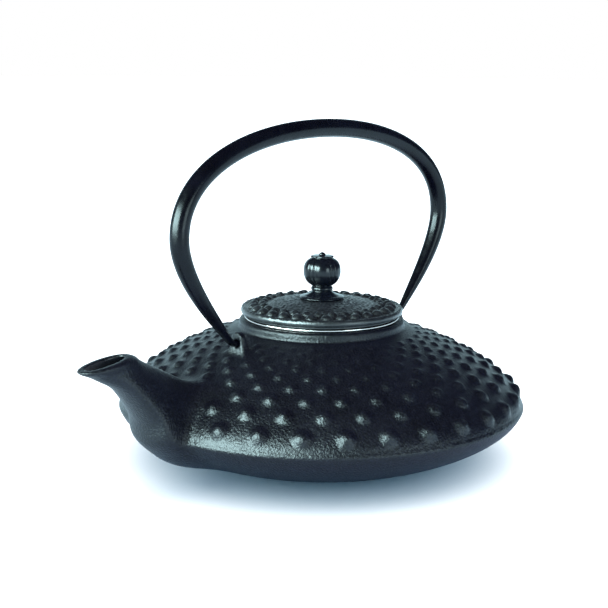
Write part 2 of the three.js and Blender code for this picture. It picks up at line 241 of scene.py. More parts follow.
SPOUT_UNDERSIDE = [(-56, 12), (-84, 11.8), (-100.8, 22.2), (-105.0, 34),
                   (-114.6, 47.5), (-125, 54.3), (-133, 58.8)]
SPOUT_UPPER_EDGE = [(-56, 34), (-72, 42.2), (-82, 47.2), (-90.5, 51.8),
                    (-100, 57), (-105.6, 60.2), (-109.4, 62.5)]

LUG_RADIUS = 50.6
LUG_THICKNESS = 3.6
LUG_HALF_WIDTH = 3.5
LUG_FLARE = (0.16, 0.03)  # per millimetre below the crown, and per its square
LUG_DRAFT = 0.05
LUG_FOOT = 46  # the height of its lower end, inside the pot's wall
LUG_EDGE = 1.4
LUG_FILLET = 2.6
LUG_HOLE_RADIUS = 1.75
LUG_HOLE_HALF_LENGTH = 5
LUG_HOLE_EDGE = 0.8

HOLLOW_EDGE = 1.5
OVERRUN = 8  # of the hollow, past the neck and the mouth

TABLE_STEP = 0.5
PROFILE_TABLE = ((0, -6), (104, 74))  # low and high corners
SPOUT_TABLE = ((-146, -10), (-36, 78))


class Table:
    """Values on a flat grid, read back between its points."""

    def __init__(self, low, high):
        self.low = np.array(low, float)
        self.size = [int((h - l) / TABLE_STEP) + 1 for l, h in zip(low, high)]
        across, up = (l + TABLE_STEP * np.arange(n) for l, n in zip(low, self.size))
        self.across, self.up = np.meshgrid(across, up, indexing="ij")
        self.layers = {}

    def read(self, across, up, *names):
        i = np.clip((across - self.low[0]) / TABLE_STEP, 0, self.size[0] - 1.001)
        j = np.clip((up - self.low[1]) / TABLE_STEP, 0, self.size[1] - 1.001)
        i0, j0 = i.astype(int), j.astype(int)
        s, t = i - i0, j - j0
        return [(1 - s) * ((1 - t) * layer[i0, j0] + t * layer[i0, j0 + 1])
                + s * ((1 - t) * layer[i0 + 1, j0] + t * layer[i0 + 1, j0 + 1])
                for layer in (self.layers[name] for name in names)]


def outline_table(outline):
    """Signed distance from an outline that starts and ends on the axis, and the arc length at the
    outline's nearest point."""
    table = Table(*PROFILE_TABLE)
    x, z = table.across, table.up
    gap = np.full(x.shape, np.inf)
    arc = np.zeros(x.shape)
    inside = np.zeros(x.shape, bool)
    travelled = 0.0
    for (x0, z0), (x1, z1) in zip(outline[:-1], outline[1:]):
        along_x, along_z = x1 - x0, z1 - z0
        length = math.hypot(along_x, along_z)
        if length < 1e-9:
            continue
        share = np.clip(((x - x0) * along_x + (z - z0) * along_z) / length**2, 0, 1)
        here = np.hypot(x - x0 - share * along_x, z - z0 - share * along_z)
        nearer = here < gap
        gap = np.where(nearer, here, gap)
        arc = np.where(nearer, travelled + share * length, arc)
        if abs(along_z) > 1e-9:
            inside ^= ((z0 > z) != (z1 > z)) & (x < x0 + (z - z0) * along_x / along_z)
        travelled += length
    table.layers = {"gap": np.where(inside, -gap, gap), "arc": arc}
    return table


def outside_outline():
    bowl = bezier((BASE_RADIUS, 0), (68, 5.5), (88, 14), (RIDGE_RADIUS - 0.3, RIDGE_HEIGHT - 0.8), 40)
    shoulder = bezier((SHOULDER_RADIUS, RIDGE_HEIGHT + 1.5), (SHOULDER_RADIUS - 1.9, 34), (66, 50),
                      (NECK_RADIUS + 2.8, SHOULDER_TOP), 90)
    fillet = bezier(shoulder[-1], (NECK_RADIUS + 1.0, SHOULDER_TOP + 0.4),
                    (NECK_RADIUS + 0.1, SHOULDER_TOP + 0.4), (NECK_RADIUS, SHOULDER_TOP + 1.2), 10)
    ridge = [(RIDGE_RADIUS, RIDGE_HEIGHT - 0.2), (RIDGE_RADIUS - 0.1, RIDGE_HEIGHT + 0.4),
             (RIDGE_RADIUS - 0.5, RIDGE_HEIGHT + 0.8)]
    neck_top = [(NECK_RADIUS - 0.1, NECK_HEIGHT - 1.0), (NECK_RADIUS - 0.7, NECK_HEIGHT - 0.2),
                (NECK_RADIUS - 1.6, NECK_HEIGHT), (0, NECK_HEIGHT)]
    outline = np.vstack([[(0, 0)], bowl, ridge, shoulder, fillet, neck_top])
    return outline, shoulder


def inside_outline():
    ridge = RIDGE_RADIUS - WALL
    bowl = bezier((BASE_RADIUS - 4, WALL), (67, 9.5), (84, 17), (ridge - 0.6, RIDGE_HEIGHT), 30)
    shoulder = bezier((ridge - 1, RIDGE_HEIGHT + 2), (86, 32), (64, 46.6), (39, 55), 30)
    bore = bezier((39, 55), (36, 56.2), (NECK_BORE_RADIUS, 57.5), (NECK_BORE_RADIUS, 59.5), 8)
    past_neck = NECK_HEIGHT + OVERRUN
    return np.vstack([[(0, WALL)], bowl, shoulder, bore,
                      [(NECK_BORE_RADIUS, past_neck), (0, past_neck)]])


OUTSIDE_OUTLINE, SHOULDER = outside_outline()
OUTSIDE = outline_table(OUTSIDE_OUTLINE)
INSIDE = outline_table(inside_outline())


def spout_half_width(share):
    narrowing = smoothstep(share, *SPOUT_TAPER)
    return SPOUT_ROOT_HALF_WIDTH + (SPOUT_MOUTH_HALF_WIDTH - SPOUT_ROOT_HALF_WIDTH) * narrowing


def spout_table():
    """Where a point of the plane y = 0 lies on the spout's sections: the share of the spout's
    length, the level on the section from -1 to 1, and the section's half depth."""
    table = Table(*SPOUT_TABLE)
    x, z = table.across, table.up
    first, last = -0.25, 1.2  # the sections carry on past the root and the mouth
    shares = np.linspace(first, last, 260)
    low, high = spline(SPOUT_UNDERSIDE, shares), spline(SPOUT_UPPER_EDGE, shares)

    def side_of(k):
        return ((high[k, 0] - low[k, 0]) * (z - low[k, 1])
                - (high[k, 1] - low[k, 1]) * (x - low[k, 0]))

    share_at = np.where(x < SPOUT_MIDDLE_X, last, first)
    level_at, depth_at = np.full(x.shape, 9.0), np.full(x.shape, 10.0)  # far off every section
    before = side_of(0)
    for k in range(len(shares) - 1):
        after = side_of(k + 1)
        crossed = before * after <= 0
        part = np.where(crossed, before / (before - after + 1e-12), 0)
        bottom_x, bottom_z = (low[k, a] + part * (low[k + 1, a] - low[k, a]) for a in (0, 1))
        top_x, top_z = (high[k, a] + part * (high[k + 1, a] - high[k, a]) for a in (0, 1))
        run_x, run_z = top_x - bottom_x, top_z - bottom_z
        level = 2 * ((x - bottom_x) * run_x + (z - bottom_z) * run_z) / (run_x**2 + run_z**2) - 1
        nearer = crossed & (np.abs(level) < np.abs(level_at))
        share_at = np.where(nearer, shares[k] + part * (shares[k + 1] - shares[k]), share_at)
        level_at = np.where(nearer, level, level_at)
        depth_at = np.where(nearer, np.hypot(run_x, run_z) / 2, depth_at)
        before = after
    table.layers = {"share": share_at, "level": level_at, "depth": depth_at}
    return table


SPOUT = spout_table()
MOUTH_LOW, MOUTH_HIGH = np.array(SPOUT_UNDERSIDE[-1]), np.array(SPOUT_UPPER_EDGE[-1])
MOUTH_RUN = (MOUTH_HIGH - MOUTH_LOW) / np.linalg.norm(MOUTH_HIGH - MOUTH_LOW)
MOUTH_OUT = np.array([-MOUTH_RUN[1], MOUTH_RUN[0]])


def soft_union(a, b, reach):
    """The lower of two fields, blended where they differ by less than reach."""
    blend = np.maximum(reach - np.abs(a - b), 0) / reach
    return np.minimum(a, b) - blend * blend * reach / 4


def soft_cut(a, b, reach):
    return -soft_union(-a, b, reach)


def without_corner(value):
    """The size of a value, rounded off near 0 and unchanged at 1."""
    at_one = math.hypot(1, SECTION_ROUNDING) - SECTION_ROUNDING
    return (np.hypot(value, SECTION_ROUNDING) - SECTION_ROUNDING) / at_one


def section_gap(level, across, depth, half_width, sharpness):
    """Distance from a rounded section whose half axes are depth and half_width."""
    level = without_corner(level)
    across = without_corner(across / half_width)
    size = (level**sharpness + across**sharpness) ** (1 / sharpness)
    steepness = size ** (1 - sharpness) * np.hypot(
        level ** (sharpness - 1) / depth, across ** (sharpness - 1) / half_width
    )
    least = 0.6 / np.maximum(depth, half_width)  # keeps the middle's distance finite
    return (size - 1) / np.maximum(steepness, least)


def spout_fields(x, y, z):
    """The spout's outside and its channel."""
    share, level, depth = SPOUT.read(x, z, "share", "level", "depth")
    half_width = spout_half_width(share)
    crease = smoothstep(share, *CREASE_STARTS) * (1 - smoothstep(share, *CREASE_ENDS))
    crease_level = (CREASE_LEVEL + CREASE_CLIMB * share) * crease
    above = level > crease_level
    reach = np.where(above, 1 - crease_level, 1 + crease_level)
    side = (level - crease_level) / reach
    depth = depth * reach
    # An ellipse has a sharpness of 2. The flanks are flatter, above the crease most of all.
    flatter_above = 0.62 * smoothstep(side, -0.03, 0.08)
    flatter_below = 0.22 * smoothstep(-side, 0.03, 0.25)
    sharpness = 2.0 - crease * (flatter_above + flatter_below)
    section = section_gap(side, y, depth, half_width, sharpness)
    past_mouth = (x - MOUTH_LOW[0]) * MOUTH_OUT[0] + (z - MOUTH_LOW[1]) * MOUTH_OUT[1]
    lip = LIP_BEAD * np.exp(-(((past_mouth + LIP_BEAD_INSET) / LIP_BEAD_WIDTH) ** 2))
    outside = soft_cut(section - lip, -past_mouth, MOUTH_EDGE)
    outside = np.maximum(outside, x - SPOUT_ROOT_X)
    wall = SPOUT_WALL + (SPOUT_LIP - SPOUT_WALL) * smoothstep(share, LIP_START, 1)
    channel = np.maximum(section + wall, past_mouth - OVERRUN)
    channel = np.maximum(channel, x - CHANNEL_ROOT_X)
    return outside, channel


def lug_fields(x, y, z):
    """Both lugs, and the drilled holes through them."""
    crown = LUG_TOP - LUG_HALF_WIDTH
    below = np.maximum(crown - z, 0)
    half_width = LUG_HALF_WIDTH + LUG_FLARE[0] * below + LUG_FLARE[1] * below**2
    arch = np.where(z > crown, np.hypot(y, z - crown) - LUG_HALF_WIDTH, np.abs(y) - half_width)
    from_middle = np.abs(np.abs(x) - LUG_RADIUS)
    plate = from_middle - LUG_THICKNESS / 2 - LUG_DRAFT * below
    lug = soft_cut(arch, -plate, LUG_EDGE)
    lug = np.maximum(lug, LUG_FOOT - z)
    hole = np.hypot(y, z - HINGE_HEIGHT) - LUG_HOLE_RADIUS
    hole = np.maximum(hole, from_middle - LUG_HOLE_HALF_LENGTH)
    return lug, hole


# Hobnails: rows at equal ratios, each row half a pitch round from the next.
ROW_RADII = FIRST_ROW_RADIUS * ROW_RATIO ** np.arange(HOBNAIL_ROWS)
SHOULDER_START = int(np.argmin(np.linalg.norm(OUTSIDE_OUTLINE - SHOULDER[0], axis=1)))
SHOULDER_ARCS = arc_lengths(OUTSIDE_OUTLINE)[SHOULDER_START:][:len(SHOULDER)]
ROW_ARCS = np.interp(-ROW_RADII, -SHOULDER[:, 0], SHOULDER_ARCS)
ROW_HEIGHTS = np.interp(-ROW_RADII, -SHOULDER[:, 0], SHOULDER[:, 1])
PITCH = TURN / HOBNAILS_PER_ROW


def row_start(row):
    """Where a row's first hobnail stands, in pitches round from the spout."""
    return 0.5 * (1 - row % 2)


def hobnail_present():
    """Which hobnails stand: none in the spout's root or beside the lugs."""
    row, column = np.indices((HOBNAIL_ROWS, HOBNAILS_PER_ROW))
    angle = math.pi + (column + row_start(row)) * PITCH
    radius, z = ROW_RADII[row], ROW_HEIGHTS[row]
    x, y = radius * np.cos(angle), radius * np.sin(angle)
    in_spout = spout_fields(x, y, z)[0] < SPOUT_CLEARANCE * radius / FIRST_ROW_RADIUS
    in_lug = lug_fields(x, y, z)[0] < LUG_CLEARANCE
    return (~(in_spout | in_lug)).astype(float)


HOBNAIL_PRESENT = hobnail_present()


def hobnail_lift(x, y, arc):
    """How far the hobnails stand out of the shoulder, at an arc length of the outline."""
    row = np.rint(np.interp(arc, ROW_ARCS, np.arange(HOBNAIL_ROWS))).astype(int)
    turned = (np.arctan2(y, x) - math.pi) / PITCH - row_start(row)
    column = np.rint(turned).astype(int)
    radius = ROW_RADII[row]
    size = (radius / FIRST_ROW_RADIUS) ** SIZE_POWER
    around = (turned - column) * PITCH * radius
    along = arc - ROW_ARCS[row]
    reach = np.maximum(1 - (around**2 + along**2) / (HOBNAIL_RADIUS * size) ** 2, 0)
    present = HOBNAIL_PRESENT[row, column % HOBNAILS_PER_ROW]
    return HOBNAIL_HEIGHT * size**HEIGHT_POWER * reach**HOBNAIL_PEAK * present


def pot_fields(points):
    """The iron's outside, and the hollow, each as its own field."""
    x, y, z = points[..., 0], points[..., 1], points[..., 2]
    radius = np.hypot(x, y)
    shell, arc = OUTSIDE.read(radius, z, "gap", "arc")
    shell = shell - hobnail_lift(x, y, arc)
    spout, channel = spout_fields(x, y, z)
    fillet = (SPOUT_FILLET + (UNDER_FILLET - SPOUT_FILLET) * (1 - smoothstep(z, 14, 24))
              + (UPPER_FILLET - SPOUT_FILLET) * smoothstep(z, 30, 46))
    outside = soft_union(shell, spout, fillet)
    lug, hole = lug_fields(x, y, z)
    outside = soft_union(outside, lug, LUG_FILLET)
    outside = soft_cut(outside, hole, LUG_HOLE_EDGE)
    (cavity,) = INSIDE.read(radius, z, "gap")
    hollow = soft_union(cavity, channel, HOLLOW_EDGE)
    return outside, hollow


def pot_field(points):
    outside, hollow = pot_fields(points)
    return soft_cut(outside, hollow, HOLLOW_EDGE)


# ---- surface from a field


def graded_axis(stops):
    """Grid lines from the first stop to the last, at each stretch's own step."""
    lines = [stops[0][0]]
    for (start, step), (end, _) in zip(stops[:-1], stops[1:]):
        count = max(1, round((end - start) / step))
        lines.extend(start + (end - start) * (k + 1) / count for k in range(count))
    return np.array(lines, float)


def net_surface(field, axes):
    """A quad mesh of the field's zero surface: one point in each cell that the surface crosses."""
    xs, ys, zs = axes
    grid = np.stack(np.meshgrid(xs, ys, zs, indexing="ij"), -1)
    value = np.empty(grid.shape[:3])
    for k in range(len(xs)):
        value[k] = field(grid[k])
    solid = value < 0
    cells = tuple(n - 1 for n in value.shape)
    total = np.zeros(cells + (3,))
    crossings = np.zeros(cells)

    def window(array, offset):
        return array[tuple(slice(o, o + c) for o, c in zip(offset, cells))]

    for axis in range(3):
        for corner in (c for c in np.ndindex(2, 2, 2) if not c[axis]):
            other = tuple(1 if a == axis else corner[a] for a in range(3))
            v0, v1 = window(value, corner), window(value, other)
            crossed = window(solid, corner) != window(solid, other)
            share = np.where(crossed, v0 / np.where(crossed, v0 - v1, 1), 0)[..., None]
            place = window(grid, corner) * (1 - share) + window(grid, other) * share
            total += np.where(crossed[..., None], place, 0)
            crossings += crossed
    used = crossings > 0
    number = np.full(cells, -1)
    number[used] = np.arange(used.sum())
    points = total[used] / crossings[used][:, None]

    faces = []
    for axis in range(3):
        others = [(axis + 1) % 3, (axis + 2) % 3]
        near = [slice(1, -1)] * 3
        near[axis] = slice(0, -1)
        far = list(near)
        far[axis] = slice(1, None)
        a, b = solid[tuple(near)], solid[tuple(far)]
        for rising in (False, True):
            where = np.argwhere((~a & b) if rising else (a & ~b))
            where[:, others] += 1
            around = []
            for back in ((1, 1), (0, 1), (0, 0), (1, 0)):
                cell = where.copy()
                cell[:, others] -= back
                around.append(number[tuple(cell.T)])
            quad = np.stack(around, -1)
            faces.append(quad[:, ::-1] if rising else quad)
    return points, np.vstack(faces)


def settle(field, points, faces, rounds, relax):
    """Moves points onto the zero surface, evening their spacing in all but the last two rounds."""
    edges = np.vstack([faces[:, [a, (a + 1) % 4]] for a in range(4)])
    step = 0.05
    longest = 0.8
    for turn in range(rounds):
        if turn < rounds - 2:
            total = np.zeros_like(points)
            count = np.zeros(len(points))
            for a, b in ((0, 1), (1, 0)):
                np.add.at(total, edges[:, a], points[edges[:, b]])
                np.add.at(count, edges[:, a], 1)
            points = points + relax * (total / np.maximum(count, 1)[:, None] - points)
        value = field(points)
        slope = np.stack([
            (field(points + step * axis) - field(points - step * axis)) / (2 * step)
            for axis in np.eye(3)
        ], -1)
        steepness = np.maximum((slope**2).sum(-1), 0.05)
        move = -(value / steepness)[:, None] * slope
        length = np.linalg.norm(move, axis=1)[:, None]
        points = points + move * np.minimum(1, longest / np.maximum(length, 1e-9))
    return points


def pot_piece():
    coarse = 1.2
    fine = 0.7
    edge = RIDGE_RADIUS + 3
    # Fine steps run through the spout's mouth, the lugs, the ridge and the neck.
    axes = (
        graded_axis([(POT_LOW[0] - 4, fine), (-108, coarse), (-54, fine), (-47, coarse),
                     (47, fine), (54, coarse), (edge, coarse)]),
        graded_axis([(-edge, coarse), (-7.5, fine), (7.5, coarse), (edge, coarse)]),
        graded_axis([(-3, coarse), (25, fine), (28, coarse), (54, fine), (LUG_TOP + 3, fine)]),
    )
    points, faces = net_surface(pot_field, axes)
    points = settle(pot_field, points, faces, rounds=6, relax=0.5)
    points[:, 2] = np.maximum(points[:, 2], 0)
    piece = mesh_piece("pot_casting", points, faces, "pot", "pot_iron", ["pot_body"],
                       pot_iron(), enamel())
    centres = np.empty(len(piece.data.polygons) * 3)
    piece.data.polygons.foreach_get("center", centres)
    outside, hollow = pot_fields(centres.reshape(-1, 3) / MM)
    inner = (np.abs(hollow) < np.abs(outside)).astype(np.int32)
    piece.data.polygons.foreach_set("material_index", inner)


# ---- the bail handle

HANDLE_ROD_RADIUS = HANDLE_HIGH[1]
HANDLE_BULGE = HINGE_HEIGHT + 47.2  # the height of the widest place
HANDLE_TAPER = (0.6, 0.967)  # shares of a half, from the top to the hook's tip
HANDLE_TAPER_POWER = 1.9
HOOK_RADIUS = 1.3
HOOK_REACH = 3.2  # of the tip, past the middle of the lug


def bail_centreline():
    """One half, from the top to the hook's tip, evenly spaced."""
    top = HANDLE_HIGH[2] - HANDLE_ROD_RADIUS
    half_span = HANDLE_HIGH[0] - HANDLE_ROD_RADIUS
    widest = (half_span, HANDLE_BULGE)
    elbow = (57.5, HINGE_HEIGHT + 3.4)
    arch = bezier((0, top), (45, top), (half_span, HANDLE_BULGE + 28), widest, 60)
    leg = bezier(widest, (half_span, HANDLE_BULGE - 15), (66, HINGE_HEIGHT + 13.7), elbow, 60)
    bend = bezier(elbow, (55.6, HINGE_HEIGHT + 1), (54.6, HINGE_HEIGHT),
                  (LUG_RADIUS + 2.4, HINGE_HEIGHT), 20)
    tip = np.array([(LUG_RADIUS - HOOK_REACH + HOOK_RADIUS, HINGE_HEIGHT)])
    line = np.vstack([arch, leg[1:], bend[1:], tip])
    travelled = arc_lengths(line)
    even = np.linspace(0, travelled[-1], 150)
    return np.stack([np.interp(even, travelled, line[:, a]) for a in (0, 1)], -1)


def handle_piece():
    half = bail_centreline()
    share = np.linspace(0, 1, len(half))
    taper = np.clip((share - HANDLE_TAPER[0]) / (HANDLE_TAPER[1] - HANDLE_TAPER[0]), 0, 1)
    radius = HANDLE_ROD_RADIUS + (HOOK_RADIUS - HANDLE_ROD_RADIUS) * taper**HANDLE_TAPER_POWER
    right = np.insert(half, 1, 0, axis=1)
    left = right[::-1] * (-1, 1, 1)
    centres = np.vstack([left, right[1:]])
    radii = np.concatenate([radius[::-1], radius[1:]])
    # The tips close as small domes.
    latitudes = np.linspace(math.pi / 2, 0, 6)[:-1]
    dome, reach = HOOK_RADIUS * np.cos(latitudes), HOOK_RADIUS * np.sin(latitudes)
    ends = []
    for tip, before in ((centres[0], centres[1]), (centres[-1], centres[-2])):
        outward = (tip - before) / np.linalg.norm(tip - before)
        ends.append(tip + reach[:, None] * outward)
    centres = np.vstack([ends[0], centres, ends[1][::-1]])
    radii = np.concatenate([dome, radii, dome[::-1]])
    mesh_piece("bail_handle", *sweep(centres, radii, 40), "handle", "forged_iron", ["handle"],
               forged_iron())


# ---- lid and knob

LID_SEAT = COLLAR_HIGH[2] + 0.3
LID_CROWN = 7.2
LID_THICKNESS = 3.6
BEAD_FLOOR = 3.3  # the height above which beads and grain stand
SPIGOT_RADIUS = 28.2
BEADS_PER_RING = 30
OUTER_BEADS = (31.2, 2.6, 1.9)  # ring radius, bead radius, bead height
INNER_BEADS = (27.0, 2.2, 1.6)
BEAD_FULLNESS = 0.62  # below 1, fuller than a paraboloid
STEM_RADIUS = 2.5
STEM_HOLE_RADIUS = STEM_RADIUS + 0.3
GRAIN_WAVES = 16
GRAIN_LENGTH = 1.15  # of the shortest wave
GRAIN_LENGTHENING = 0.11  # of that length, from wave to wave
GRAIN_PHASE = 2.4  # keeps the waves' crests apart
GRAIN_HEIGHT = 0.1


def sand_grain(x, y):
    """The cast skin of the lid: waves of several lengths that cross at many angles."""
    golden_turn = TURN * (math.sqrt(5) - 1) / 2
    height = 0 * x
    for k in range(GRAIN_WAVES):
        heading = k * golden_turn
        length = GRAIN_LENGTH * (1 + GRAIN_LENGTHENING * k)
        along = x * math.cos(heading) + y * math.sin(heading)
        height = height + np.sin(TURN * along / length + GRAIN_PHASE * k * k)
    return GRAIN_HEIGHT * height / math.sqrt(GRAIN_WAVES)


def lid_piece():
    underside = LID_CROWN - LID_THICKNESS
    seat_edge = COLLAR_HIGH[0] - 0.6
    corners = [
        (STEM_HOLE_RADIUS, underside, 0.1), (8, underside, 0.6),
        (SPIGOT_RADIUS - 3.2, 0.9, 0.8), (SPIGOT_RADIUS - 3.2, -4, 0.4), (SPIGOT_RADIUS, -4, 0.5),
        (SPIGOT_RADIUS, 0, 0.2), (seat_edge, 0, 0.2), (seat_edge, 0.9, 0.2),
        (LID_RADIUS - 0.5, 0.9, 0.4), (LID_RADIUS, 2.4, 0.7), (LID_RADIUS - 0.6, 3.9, 0.7),
        (LID_RADIUS - 1.9, 4, 0.5), (LID_RADIUS - 2.7, 3.3, 0.3), (LID_RADIUS - 2.9, 3.35, 0),
    ]
    crown = bezier((LID_RADIUS - 3, 3.37), (28, 4.1), (17, 6.9), (10, LID_CROWN), 100)
    outline = np.vstack([rounded(corners, closed=False)[:-1], crown,
                         [(6, LID_CROWN), (STEM_HOLE_RADIUS, LID_CROWN), corners[0][:2]]])
    pitch = TURN / BEADS_PER_RING

    def beads(angle, radius, height):
        lift = np.zeros(np.broadcast(angle, radius).shape)
        on_top = height > BEAD_FLOOR
        for (ring, reach, tall), start in ((OUTER_BEADS, 0.0), (INNER_BEADS, 0.5)):
            turned = angle / pitch - start
            around = (turned - np.rint(turned)) * pitch * ring
            inside = np.maximum(1 - (around**2 + (radius - ring) ** 2) / reach**2, 0)
            lift = np.maximum(lift, tall * inside**BEAD_FULLNESS * on_top)
        skin = sand_grain(radius * np.cos(angle), radius * np.sin(angle))
        skin = skin * smoothstep(height, BEAD_FLOOR, BEAD_FLOOR + 0.2)
        skin = skin * smoothstep(radius, STEM_RADIUS + 1, STEM_RADIUS + 3)
        return 0 * lift, lift + skin

    points, faces = lathe(outline, 480, beads)
    points[:, 2] += LID_SEAT
    mesh_piece("lid_casting", points, faces, "lid", "lid_iron", ["lid"], lid_iron())


MELON_RADIUS = 8.55
MELON_LOBES = 5
RIB_CENTRE = math.radians(44)
RIB_HALF_ANGLE = math.radians(7.5)
RIB_DROP = 0.35
GROOVE_DEPTH = 0.5
GROOVE_HALF_ANGLE = math.radians(2.1)
PETALS = 8
PETAL_DEPTH = 0.32


def knob_piece():
    foot = LID_CROWN + 0.3
    middle = LID_CROWN + 12.8
    head = LID_CROWN - LID_THICKNESS - 1.4  # of the stud, under the washer
    lower = [(0, head - 1.3, 0), (3.4, head - 1.3, 0.8), (4.4, head - 0.4, 0.5), (4.2, head, 0.1),
             (STEM_RADIUS, head, 0.1), (STEM_RADIUS, foot, 0.1), (KNOB_FOOT_RADIUS - 0.2, foot, 0.2),
             (KNOB_FOOT_RADIUS, foot + 0.7, 0.5), (KNOB_FOOT_RADIUS - 1.6, foot + 1.25, 0.6)]
    skirt = bezier((KNOB_FOOT_RADIUS - 1.8, foot + 1.25), (7, foot + 1.7), (4.7, foot + 2.6),
                   (4.5, foot + 3.4), 12)
    collar = bezier((4.5, foot + 3.5), (5.2, foot + 3.9), (5.2, foot + 5.1), (4.3, foot + 5.6), 10)
    melon_low = bezier((4.3, foot + 5.7), (6.6, middle - 5.9), (MELON_RADIUS, middle - 3.6),
                       (MELON_RADIUS, middle), 26)
    melon_high = bezier(melon_low[-1], (MELON_RADIUS, middle + 3), (7.4, middle + 5.3),
                        (4.5, middle + 5.9), 26)
    disc = [(4.4, middle + 5.9, 0), (4.95, middle + 6.1, 0.3), (4.9, middle + 6.9, 0.4),
            (1.5, middle + 7.1, 0.4), (1.3, middle + 8.1, 0.6), (0, middle + 8.5, 0)]
    outline = np.vstack([rounded(lower, closed=False), skirt, collar, melon_low, melon_high[1:],
                         rounded(disc, closed=False)[1:]])

    def lobes(angle, radius, height):
        turned = (angle - RIB_CENTRE) * MELON_LOBES / TURN
        from_rib = np.abs(turned - np.rint(turned)) * TURN / MELON_LOBES
        on_melon = smoothstep(height, foot + 6, foot + 8)
        on_melon = on_melon * (1 - smoothstep(height, middle + 4.6, middle + 5.8))
        groove = np.exp(-(((from_rib - RIB_HALF_ANGLE) / GROOVE_HALF_ANGLE) ** 2))
        rib = np.maximum(np.cos(from_rib * MELON_LOBES / 2), 0) ** 4
        change = -on_melon * (GROOVE_DEPTH * groove + RIB_DROP * rib)
        on_disc = (height > middle + 6.05) & (radius > 2)
        petals = PETAL_DEPTH * np.cos(PETALS * (angle - RIB_CENTRE)) * smoothstep(radius, 2.2, 4.8)
        return change + np.where(on_disc, petals, 0), 0 * change

    points, faces = lathe(outline, 240, lobes)
    points[:, 2] += LID_SEAT
    mesh_piece("lid_knob_casting", points, faces, "lid", "lid_iron", ["lid_knob"], knob_iron())


def washer_piece():
    low, high = box_mm("knob_washer")
    outline = rounded([(STEM_HOLE_RADIUS, low[2], 0.15), (high[0], low[2], 0.3),
                       (high[0], high[2], 0.3), (STEM_HOLE_RADIUS, high[2], 0.15)])
    mesh_piece("stud_washer", *lathe(outline, 96), "lid", "stainless", ["knob_washer"], stainless())


# ---- infuser

SHEET = 0.6
SHARP_ANGLE = math.radians(40)


def collar_piece():
    skirt = box_mm("infuser_wall")[1][0] + 0.3
    top, bottom = COLLAR_HIGH[2], COLLAR_LOW[2]
    flange_low = top - 0.8
    outline = rounded([
        (skirt, bottom, 0.2), (skirt + SHEET, bottom, 0.2), (skirt + SHEET, flange_low, 0.25),
        (COLLAR_HIGH[0], flange_low, 0.3), (COLLAR_HIGH[0], top, 0.3), (skirt + 0.5, top, 0.4),
        (skirt, top - 0.9, 0.4),
    ])
    mesh_piece("infuser_rim", *lathe(outline, 240), "infuser", "stainless", ["infuser_collar"],
               stainless())


def base_ring_piece():
    low, high = box_mm("infuser_base_ring")
    outside = high[0]
    inside = outside - SHEET
    lip = inside - 4.5
    bottom, top = low[2], high[2]
    outline = rounded([
        (lip, bottom, 0.2), (outside, bottom, 0.8), (outside, top, 0.25), (inside, top, 0.25),
        (inside, bottom + SHEET, 0.4), (lip, bottom + SHEET, 0.2),
    ])
    mesh_piece("infuser_foot_ring", *lathe(outline, 200), "infuser", "stainless",
               ["infuser_base_ring"], stainless())


WALL_COLUMNS = 104
WALL_ROWS = 20
WALL_MARGIN = 1.4
FLOOR_PITCH = 1.9
FLOOR_MARGIN = 3.2
HOLE_SHARE = 0.31  # of the pitch, for a hole's radius
HOLE_SIDES = 8


def infuser_wall_piece():
    """A punched cylinder: square cells in staggered rows, each with a round hole."""
    low, high = box_mm("infuser_wall")
    outer = high[0]
    row_height = (high[2] - low[2] - 2 * WALL_MARGIN) / WALL_ROWS
    angles = np.arange(HOLE_SIDES) * TURN / HOLE_SIDES
    circle = HOLE_SHARE * np.stack([np.cos(angles), np.sin(angles)], -1)
    square = np.round(circle / HOLE_SHARE) / 2
    points, faces = [], []

    def add_quads(*corners):
        """Quads from the arrays of their four corners (across, up, side)."""
        start = sum(len(p) for p in points)
        points.append(np.stack(corners, -2).reshape(-1, 3))
        faces.append(start + np.arange(len(points[-1])).reshape(-1, 4))

    row, column = np.indices((WALL_ROWS, WALL_COLUMNS))
    centre = np.stack([column + 0.5 * (row % 2), row + 0.5], -1).reshape(-1, 1, 2)

    def raised(flat, side):
        return np.concatenate([flat, np.full(flat.shape[:-1] + (1,), float(side))], -1)

    rims, holes = centre + square, centre + circle
    next_rims, next_holes = np.roll(rims, -1, 1), np.roll(holes, -1, 1)
    for side in (0, 1):
        add_quads(*(raised(flat, side) for flat in (rims, next_rims, next_holes, holes)))
    add_quads(raised(holes, 0), raised(next_holes, 0), raised(next_holes, 1), raised(holes, 1))
    half_cells = np.arange(2 * WALL_COLUMNS) / 2
    margin = WALL_MARGIN / row_height

    def at(shift, up, side):
        return raised(np.stack([half_cells + shift, np.full(half_cells.shape, up)], -1), side)

    for edge, brim in ((0.0, -margin), (float(WALL_ROWS), WALL_ROWS + margin)):
        for side in (0, 1):
            add_quads(at(0, edge, side), at(0.5, edge, side), at(0.5, brim, side), at(0, brim, side))
        add_quads(at(0, brim, 0), at(0.5, brim, 0), at(0.5, brim, 1), at(0, brim, 1))

    across, up, side = np.vstack(points).T
    angle = (across % WALL_COLUMNS) * TURN / WALL_COLUMNS
    radius = outer - SHEET * (1 - side)
    placed = np.stack([radius * np.cos(angle), radius * np.sin(angle),
                       low[2] + WALL_MARGIN + up * row_height], -1)
    piece = mesh_piece("infuser_sieve", placed, np.vstack(faces), "infuser", "stainless",
                       ["infuser_wall"], stainless())
    piece.data.set_sharp_from_angle(angle=SHARP_ANGLE)


